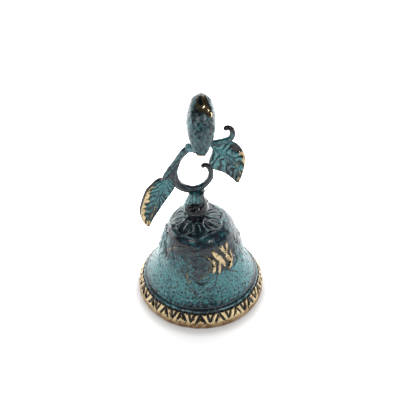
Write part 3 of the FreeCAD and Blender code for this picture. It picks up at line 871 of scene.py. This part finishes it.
def beak():
    """A short pointed beak that looks away from the front of the bell, with a groove where it opens."""
    shares = np.linspace(0, 1, 30)[:, None]
    angle = full_turn(32)[None]
    radius = 2.3 * (1 - shares**1.6) + 0.15
    gape = bump(np.abs(np.cos(angle)), 0.25) * (1 - shares)
    radius = radius * (1 - 0.15 * gape)
    along = 11.6 + 3.4 * shares + radius * np.cos(angle)
    points = bird_place(along, radius * np.sin(angle), -3.0 - 5.6 * shares)
    marks = stacked(0.5 + 0.4 * gape, 0.55 * shares**2, 0.0, 0.2)
    return closed_skin(points[::-1], marks[::-1])


def feet():
    """Two short legs under the breast, each with three toes over the stem."""
    parts = []
    for side in (-2.0, 2.0):
        top_of_stem = 106.5 + 0.22 * side
        parts.append(lump((side, 2.6, top_of_stem + 1.3), (1.3, 1.6, 2.8), seed=90))
        for spread in (-1.0, 0.0, 1.0):
            parts.append(lump((side + spread, -0.1, top_of_stem - 0.1), (0.5, 2.1, 0.6), seed=91))
    return parts


def dark_hood(share, along, ragged):
    """The dark patch over head and nape. share is the distance from the middle over the half width."""
    stations = (3.5, 7.0, 11.0, 15.5, 17.0)
    left = np.interp(along, stations, (-0.80, -0.58, -0.34, -0.30, -0.1))
    right = np.interp(along, stations, (0.92, 0.86, 0.66, 0.60, 0.3))
    hood = ramp(-0.1, 0.1, share - left + 0.06 * ragged)
    hood *= ramp(-0.1, 0.1, right - share + 0.06 * ragged)
    return hood * ramp(-0.6, 0.6, along - 5.2 + 2.4 * np.abs(share - 0.1) + 0.6 * ragged)


def rubbed_crown(side, along):
    """How much of the patina is rubbed away on the crown of the head, and how brightly the metal shows, which
    is partly a painted highlight.
    """
    rubbed, bright_and_highlight = np.zeros_like(side), np.zeros_like(side)
    for path, width, shine in HEAD_STROKES:
        distance, _ = distance_to_path(side, along, path)
        stroke = fall(0.7 * width, 1.3 * width, distance)
        rubbed = np.maximum(rubbed, stroke)
        bright_and_highlight = np.maximum(bright_and_highlight, shine * stroke)
    return rubbed, bright_and_highlight


def bird_body():
    """The round head, the body with its folded wings, and the short tail."""
    rows, columns = 150, 120
    sampled = smooth_curve(BIRD_PROFILE, np.linspace(0, 1, rows))
    along, width, back, belly = (column[:, None] for column in sampled.T)
    angle = full_turn(columns)[None]
    width = np.maximum(width, 0.3)
    side = width * np.sin(angle)
    rise = (back + belly) / 2 + (back - belly) / 2 * np.cos(angle)
    share = side / width
    upper = ramp(-0.5, 0.1, np.cos(angle))
    wing_inner = 0.1 + 0.5 * ramp(-10, 7, along)
    on_wing = ramp(wing_inner - 0.06, wing_inner + 0.06, np.abs(share)) * upper
    on_wing = on_wing * ramp(-13.5, -12.5, along) * fall(6.0, 8.0, along)
    points = bird_place(along, side, rise)
    ragged = noise(points, 3.0, 80)
    feathers = np.abs(np.sin((along + 8 * np.abs(share)) * 0.8 + 0.8 * ragged)) ** 0.6
    body = fall(4, 8, along + 0.9 * ragged)
    head = 1 - body
    facet = bump(np.hypot(side - 3.0, along - 7.8), 3.0) * upper
    nape = bump(np.abs(along - 7.4 - 1.2 * np.cos(3.2 * share)), 0.8) * upper
    eye_turn = np.abs(np.degrees(np.arctan2(np.sin(angle), np.cos(angle)))) - 54
    eye = np.hypot(along - 13.8, 4.6 * np.radians(eye_turn))
    eye_ring = near(eye, 1.0, 0.35)
    height = on_wing * (0.35 + 0.16 * (feathers - 0.7)) - 0.2 * nape - 0.35 * facet
    height = height + (0.16 * noise(points, 2.6, 81) + 0.1 * noise(points, 1.1, 82)) * (0.1 + 0.9 * body)
    height = height + 0.3 * bump(eye, 0.8) - 0.3 * eye_ring + 0.2 * near(eye, 1.5, 0.4)
    points = bird_place(along, side + height * np.sin(angle), rise + height * np.cos(angle))
    furrow = fall(0.2, 0.6, feathers) * on_wing * body
    wing_line = bump(np.abs(np.abs(share) - wing_inner), 0.07) * upper * body
    rubbed, bright_and_highlight = rubbed_crown(side + 0.3 * ragged, along + 0.3 * noise(points, 2, 86))
    rubbed = rubbed * upper * (1 - 0.5 * ramp(12.0, 15.0, along))
    bright_and_highlight = bright_and_highlight * upper
    hood = dark_hood(share, along, ragged) * upper * (1 - bright_and_highlight)
    shade = most(0.35 * furrow, 0.45 * wing_line, 0.3 * nape, hood)
    shade = most(shade, 0.2 * head * (1 - bright_and_highlight), 0.9 * near(eye, 1.0, 0.4))
    tail = fall(-15.4, -14.6, along + 0.8 * noise(points, 1.5, 87))
    pale = body * (0.22 + 0.16 * ramp(0.0, 0.8, noise(points, 1.3, 84)))
    # Painted reflection: outside the hood, the head and breast are paled, standing in for the white room seen
    # in their smooth sides.
    pale = np.maximum(pale, 0.42 * ramp(2.0, 6.0, along) * (1 - hood) * (1 - bright_and_highlight))
    green = 0.4 + 0.3 * noise(points, 5, 85) - 0.3 * head
    return closed_skin(points, stacked(shade, np.maximum(0.6 * tail, rubbed), pale, green))


def build_bird(material):
    """A small perched bird, with its beak and feet."""
    surface = merged(bird_body(), beak(), *feet())
    make_piece("perched_bird", surface, material, "bird")


# ---- materials


def add(tree, kind, inputs=None, **settings):
    """A shader node with its settings, and its inputs set or linked."""
    made = tree.nodes.new("ShaderNode" + kind)
    for name, value in settings.items():
        setattr(made, name, value)
    for name, value in (inputs or {}).items():
        if isinstance(value, bpy.types.NodeSocket):
            tree.links.new(value, made.inputs[name])
        else:
            made.inputs[name].default_value = value
    return made


def new_material(name):
    material = bpy.data.materials.new(name)
    material.use_nodes = True
    material.node_tree.nodes.clear()
    return material, material.node_tree


def grain(tree, place, size, detail=3.0, rough=0.55):
    """Noise with lumps about size mm across, 0 to 1."""
    scale = 1 / (size * MM)
    inputs = {"Vector": place, "Scale": scale, "Detail": detail, "Roughness": rough}
    return add(tree, "TexNoise", inputs).outputs[0]


def mapped(tree, value, low, high, to_low=0.0, to_high=1.0):
    inputs = {"Value": value, "From Min": low, "From Max": high, "To Min": to_low, "To Max": to_high}
    return add(tree, "MapRange", inputs, interpolation_type="SMOOTHSTEP").outputs["Result"]


def maths(tree, operation, first, second):
    return add(tree, "Math", {0: first, 1: second}, operation=operation).outputs[0]


def weighted(tree, first, times, second):
    """first times a number, plus second."""
    return maths(tree, "ADD", maths(tree, "MULTIPLY", first, times), second)


def mixed(tree, share, first, second):
    """A mix of two colours: the first where share is 0 and the second where it is 1."""
    return add(tree, "Mix", {0: share, 6: first, 7: second}, data_type="RGBA").outputs[2]


def bumpy(tree, height, strength, distance):
    """A normal for a height, which stands for distance mm."""
    return add(tree, "Bump", {"Height": height, "Strength": strength, "Distance": distance * MM}).outputs[0]


def finish_with(tree, inputs):
    """Ends a material with a surface that has these inputs."""
    shader = add(tree, "BsdfPrincipled", inputs)
    add(tree, "OutputMaterial", {"Surface": shader.outputs[0]})


def colour(red, green, blue):
    return (red, green, blue, 1.0)


NEAR_BLACK = colour(0.004, 0.006, 0.009)
DEEP_BLUE = colour(0.004, 0.012, 0.019)
SLATE = colour(0.010, 0.024, 0.038)
PLUM = colour(0.030, 0.031, 0.044)
TEAL = colour(0.010, 0.068, 0.092)
BRIGHT_TEAL = colour(0.070, 0.310, 0.335)
PALE_TINT_AND_SHEEN = colour(0.290, 0.480, 0.500)
RED_BROWN = colour(0.110, 0.035, 0.018)
OLIVE = colour(0.085, 0.095, 0.035)
GOLD = colour(0.630, 0.495, 0.290)
BROWN_GOLD = colour(0.160, 0.090, 0.042)
AGED_GOLD = colour(0.420, 0.280, 0.120)
WHITE = colour(0.930, 0.930, 0.930)
PAPER_WHITE = colour(0.950, 0.950, 0.950)


def verdigris(tree, place, green, wide, middle, fine):
    """The patina's colour: teal and brighter blooms over dark bronze, with pits, brown specks and moss."""
    uneven = weighted(tree, wide, 1.1, maths(tree, "MULTIPLY", middle, 1.2))
    cover = maths(tree, "ADD", green, maths(tree, "SUBTRACT", uneven, 1.2))
    bloom = weighted(tree, cover, 0.45, fine)
    layers = (
        (mapped(tree, grain(tree, place, 7.0, 2.0), 0.42, 0.62), PLUM),
        (mapped(tree, cover, 0.1, 0.7), TEAL),
        (mapped(tree, bloom, 0.67, 0.98), BRIGHT_TEAL),
        (mapped(tree, fine, 0.52, 0.39, 0.0, 0.75), DEEP_BLUE),
        (mapped(tree, grain(tree, place, 0.8, 1.0), 0.63, 0.71, 0.0, 0.75), RED_BROWN),
        (mapped(tree, grain(tree, place, 2.2, 2.0), 0.64, 0.74, 0.0, 0.5), OLIVE),
    )
    base = SLATE
    for share, paint in layers:
        base = mixed(tree, share, base, paint)
    return base


def patina_material(name, sheen, bumps):
    """Verdigris over dark bronze, thin in the hollows, and rubbed back to gold where the gold mark says. The
    shade mark also carries painted shade, and the pale mark carries painted reflections.
    """
    material, tree = new_material(name)
    place = add(tree, "TexCoord").outputs["Object"]
    finish_and_painted_light = add(tree, "Attribute", attribute_name="finish_and_painted_light")
    shade, gold, pale = add(tree, "SeparateColor", {0: finish_and_painted_light.outputs["Color"]}).outputs
    wide = grain(tree, place, 5.0)
    middle = grain(tree, place, 1.8, 4.0)
    fine = grain(tree, place, 1.0, 3.0, 0.75)
    ragged = maths(tree, "MULTIPLY", maths(tree, "SUBTRACT", fine, 0.5), 0.7)
    base = verdigris(tree, place, finish_and_painted_light.outputs["Alpha"], wide, middle, fine)
    # The shade mark takes the colour towards near black: patina in the hollows, and painted shade where the
    # parts put it.
    dark = mapped(tree, maths(tree, "ADD", shade, ragged), 0.15, 0.75)
    base = mixed(tree, dark, base, NEAR_BLACK)
    # The pale mark whitens the colour: a pale tint on crests and rims, and a painted reflection on the bird's
    # head and breast and on the left of the waist.
    pale_and_sheen_share = maths(tree, "MULTIPLY", pale, mapped(tree, middle, 0.35, 0.55))
    base = mixed(tree, pale_and_sheen_share, base, PALE_TINT_AND_SHEEN)
    rubbed = maths(tree, "ADD", gold, ragged)
    base = mixed(tree, mapped(tree, rubbed, 0.1, 0.34), base, OLIVE)
    metal = mapped(tree, rubbed, 0.42, 0.58)
    # Shade also browns the brass: tarnish, and painted shade where the parts put it.
    tarnish_and_shade = weighted(tree, shade, 0.8, mapped(tree, wide, 0.46, 0.74))
    brass = mixed(tree, maths(tree, "MINIMUM", tarnish_and_shade, 1.0), GOLD, BROWN_GOLD)
    rough = mapped(tree, middle, 0.3, 0.7, 0.18, 0.30)
    relief = weighted(tree, middle, 0.6, maths(tree, "MULTIPLY", fine, 0.4))
    inputs = {
        "Base Color": mixed(tree, metal, base, brass),
        "Metallic": metal,
        "Roughness": weighted(tree, maths(tree, "MAXIMUM", dark, metal), -0.10, rough),
        "Normal": bumpy(tree, relief, bumps, 0.25),
        "IOR": 1.5,
        "Sheen Weight": sheen,
        "Sheen Roughness": 0.3,
    }
    finish_with(tree, inputs)
    return material


def brass_material(name, light, dark, roughness):
    """Plain brass that has dulled and browned with age."""
    material, tree = new_material(name)
    place = add(tree, "TexCoord").outputs["Object"]
    middle = grain(tree, place, 2.2, 4.0)
    fine = grain(tree, place, 0.6, 3.0)
    base = mixed(tree, mapped(tree, middle, 0.35, 0.65), light, dark)
    inputs = {
        "Base Color": mixed(tree, mapped(tree, fine, 0.6, 0.75), base, BROWN_GOLD),
        "Metallic": 1.0,
        "Roughness": mapped(tree, middle, 0.3, 0.7, roughness - 0.08, roughness + 0.12),
        "Normal": bumpy(tree, fine, 0.35, 0.1),
    }
    finish_with(tree, inputs)
    return material


def floor_material():
    """White, and glowing like a light table around the bell and more so behind it, which lights the bell as a
    lamp would; it glows less under the bell, a painted contact shadow.
    """
    material, tree = new_material("floor_white")
    place = add(tree, "TexCoord").outputs["Object"]
    reach = add(tree, "VectorMath", {0: place}, operation="LENGTH").outputs["Value"]
    behind = add(tree, "SeparateXYZ", {0: place}).outputs["Y"]
    # Painted contact shadow: the floor glows less under the bell's rim.
    glow_and_painted_shadow = mapped(tree, reach, 0.034, 0.041, PAINTED_SHADOW_GLOW, OPEN_GLOW)
    back_glow = mapped(tree, behind, 0.010, 0.09, 0.0, BACK_GLOW)
    inputs = {
        "Base Color": mixed(tree, grain(tree, place, 400.0), WHITE, PAPER_WHITE),
        "Roughness": 0.9,
        "Specular IOR Level": 0.0,
        "Emission Color": colour(1.0, 1.0, 1.0),
        "Emission Strength": maths(tree, "ADD", glow_and_painted_shadow, back_glow),
    }
    finish_with(tree, inputs)
    return material


# ---- studio

# How strongly the floor glows under the bell, where the weaker glow is a painted contact shadow, and around
# it, and how much more behind it.
PAINTED_SHADOW_GLOW, OPEN_GLOW, BACK_GLOW = 0.28, 0.62, 1.9
WORLD_GLOW = 0.08
# Each light's place in metres, its width and its power in watts.
LIGHTS = {
    "left_bank": ((-0.80, 0.85, 0.36), 0.90, 8.0),
    "right_bank": ((0.86, 0.78, 0.36), 0.90, 9.0),
    "back_bank": ((0.0, 1.05, 0.72), 0.90, 9.0),
    "left_spot": ((-0.45, -0.72, 0.90), 0.10, 1.35),
    "right_spot": ((0.52, -0.66, 0.88), 0.10, 1.35),
}
LIGHTS_TARGET = (0.0, 0.0, 0.05)
CAMERA_PLACE = (-0.000471, -0.59235, 0.60361)
CAMERA_TARGET = (-0.000471, 0.0, 0.065907)
CAMERA_LENS = 133.45


def build_floor():
    """A round floor that curves up into a low wall far from the bell, so that low views see white too."""
    flat, cove = 3.4, 0.6
    turn = full_turn(72)
    rings = [np.zeros((1, 3))]
    for rise in np.linspace(0, math.pi / 2, 10):
        reach = flat + cove * math.sin(rise)
        rings.append(stacked(reach * np.cos(turn), reach * np.sin(turn), cove * (1 - math.cos(rise))))
    points, faces, _ = skin(rings, [np.zeros((len(ring), 4)) for ring in rings])
    mesh = bpy.data.meshes.new("studio_floor")
    mesh.from_pydata(points.tolist(), [], [corners for group in faces for corners in group.tolist()])
    mesh.materials.append(floor_material())
    floor = bpy.data.objects.new("studio_floor", mesh)
    bpy.context.scene.collection.objects.link(floor)


def look_at(thing, place, target):
    thing.location = place
    thing.rotation_euler = (Vector(target) - Vector(place)).to_track_quat("-Z", "Y").to_euler()


def build_lights():
    """A dim white room with wide soft lights at the sides and back and small ones at the front corners."""
    world = bpy.data.worlds.new("white_room")
    world.use_nodes = True
    background = world.node_tree.nodes["Background"]
    background.inputs["Color"].default_value = colour(1.0, 1.0, 1.0)
    background.inputs["Strength"].default_value = WORLD_GLOW
    bpy.context.scene.world = world
    for name, (place, width, power) in LIGHTS.items():
        light = bpy.data.lights.new(name, "AREA")
        light.size = width
        light.energy = power
        box = bpy.data.objects.new(name, light)
        look_at(box, place, LIGHTS_TARGET)
        bpy.context.scene.collection.objects.link(box)


def build_camera():
    """Looks down on the bell at 42 degrees, square to the plane of the handle."""
    lens = bpy.data.cameras.new("camera")
    lens.lens = CAMERA_LENS
    lens.sensor_width = 36.0
    camera = bpy.data.objects.new("camera", lens)
    look_at(camera, CAMERA_PLACE, CAMERA_TARGET)
    bpy.context.scene.collection.objects.link(camera)
    bpy.context.scene.camera = camera


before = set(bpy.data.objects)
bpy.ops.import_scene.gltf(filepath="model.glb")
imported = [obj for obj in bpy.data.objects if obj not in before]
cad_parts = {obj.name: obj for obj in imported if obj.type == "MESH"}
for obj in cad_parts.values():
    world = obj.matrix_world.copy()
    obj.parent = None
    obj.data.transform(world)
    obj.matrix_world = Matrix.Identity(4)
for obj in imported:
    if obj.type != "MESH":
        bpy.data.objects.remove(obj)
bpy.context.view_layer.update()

build_camera()
build_lights()
build_floor()
bpy.context.scene.view_settings.view_transform = "Standard"

cast_patina = patina_material("patina_cast", sheen=0.4, bumps=0.4)
glossy_patina = patina_material("patina_glossy", sheen=0.05, bumps=0.3)
aged_brass = brass_material("aged_brass", GOLD, AGED_GOLD, 0.35)
build_bell(cast_patina)
build_vines(cast_patina)
build_leaves(cast_patina)
build_bead(glossy_patina)
build_bird(cast_patina)
for name in ("handle_stud", "washer", "hex_nut", "clapper_link", "clapper_rod", "clapper_bob"):
    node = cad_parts[name]
    node.data.materials.clear()
    node.data.materials.append(aged_brass)
